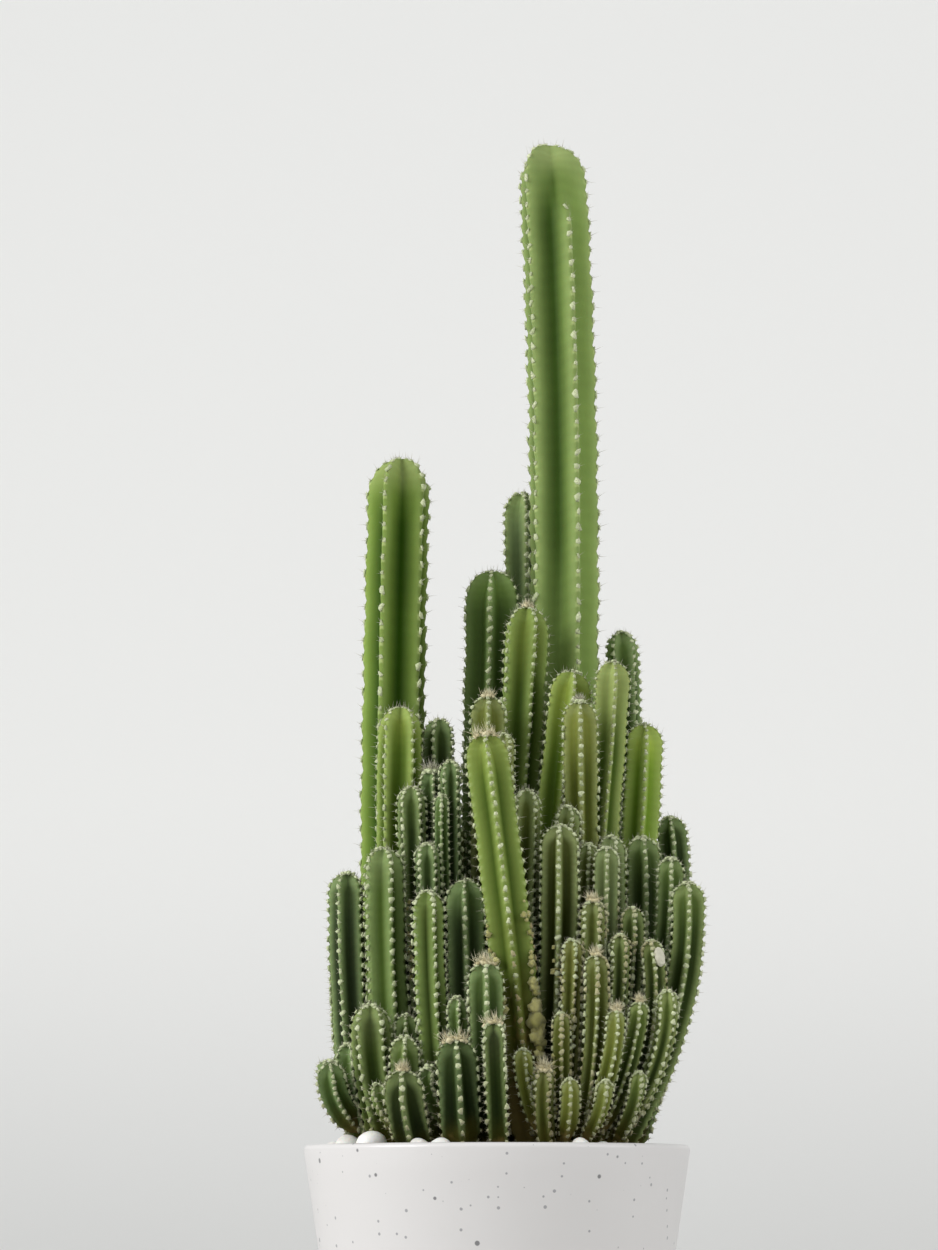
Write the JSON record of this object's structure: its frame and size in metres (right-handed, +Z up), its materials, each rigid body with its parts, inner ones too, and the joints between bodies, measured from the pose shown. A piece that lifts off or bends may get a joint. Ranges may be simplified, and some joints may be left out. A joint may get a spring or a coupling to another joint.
{
  "type": "potted triangle cactus",
  "caption": "Clump of upright ribbed columnar cactus stems of uneven height, growing in soil with white pebbles in a plain tapered white ceramic pot.",
  "frame": {"origin": "middle of the pot's flat foot, on the surface that the pot stands on", "axes": "+Z up along the pot's axis, -Y towards the front that the picture shows, +X to the right seen from the front"},
  "size_m": [0.2206, 0.2218, 0.787],
  "materials": {
    "pot_glaze": "white satin glaze with fine grey speckles",
    "soil": "dark matt potting mix",
    "pebble": "matt white pebble",
    "stem_green": "waxy mid green skin with white-wool areoles along the ribs",
    "stem_deep_green": "waxy deep blue-green skin with white-wool areoles along the ribs",
    "stem_fresh_green": "waxy yellow-green young skin with white-wool areoles along the ribs",
    "stem_olive": "waxy dull grey-olive skin with white-wool areoles along the ribs"
  },
  "bodies": {
    "root": {"pot": "pot_glaze", "soil": "soil", "pebbles": "pebble", "stem_tallest": "stem_green", "stem_second": "stem_green", "stem_before_second": "stem_fresh_green", "stem_left_wide": "stem_green", "stem_left_slim": "stem_deep_green", "stem_left_low": "stem_green", "stem_left_outer": "stem_deep_green", "stem_left_corner": "stem_deep_green", "stem_front_left": "stem_deep_green", "stem_front_left_back": "stem_deep_green", "stem_front_bright": "stem_fresh_green", "stem_front_dark": "stem_deep_green", "stem_front_middle": "stem_deep_green", "stem_front_four": "stem_green", "stem_front_crowned": "stem_deep_green", "stem_inner_left": "stem_deep_green", "stem_inner_dark": "stem_deep_green", "stem_inner_front": "stem_deep_green", "stem_inner_back": "stem_deep_green", "stem_leaning": "stem_fresh_green", "stem_centre_olive": "stem_olive", "stem_centre_tall": "stem_deep_green", "stem_back_tall": "stem_deep_green", "stem_centre_fresh": "stem_fresh_green", "stem_centre_leaning": "stem_fresh_green", "stem_centre_brown": "stem_olive", "stem_right_tall": "stem_green", "stem_right_hidden": "stem_deep_green", "stem_right_bright": "stem_fresh_green", "stem_right_outer": "stem_deep_green", "stem_centre_grey": "stem_olive", "stem_dotted": "stem_olive", "stem_dotted_back": "stem_olive", "stem_dotted_side": "stem_olive", "stem_right_grey": "stem_olive", "stem_right_grey_back": "stem_olive", "stem_right_pair": "stem_deep_green", "stem_fan_olive": "stem_olive", "stem_fan_front": "stem_olive", "stem_fan_low": "stem_olive", "stem_fan_corner": "stem_olive", "stem_fan_back": "stem_olive", "stem_fan_curved": "stem_deep_green", "stem_fan_inner": "stem_deep_green", "stem_fan_middle": "stem_deep_green", "stem_fan_outer": "stem_deep_green", "stem_back_left": "stem_green", "stem_side_left": "stem_deep_green", "stem_back_left_low": "stem_green", "stem_back_inner": "stem_olive", "stem_back_middle": "stem_fresh_green", "stem_back_right_low": "stem_deep_green", "stem_back_right": "stem_green", "stem_side_right": "stem_olive"}
  },
  "joints": []
}
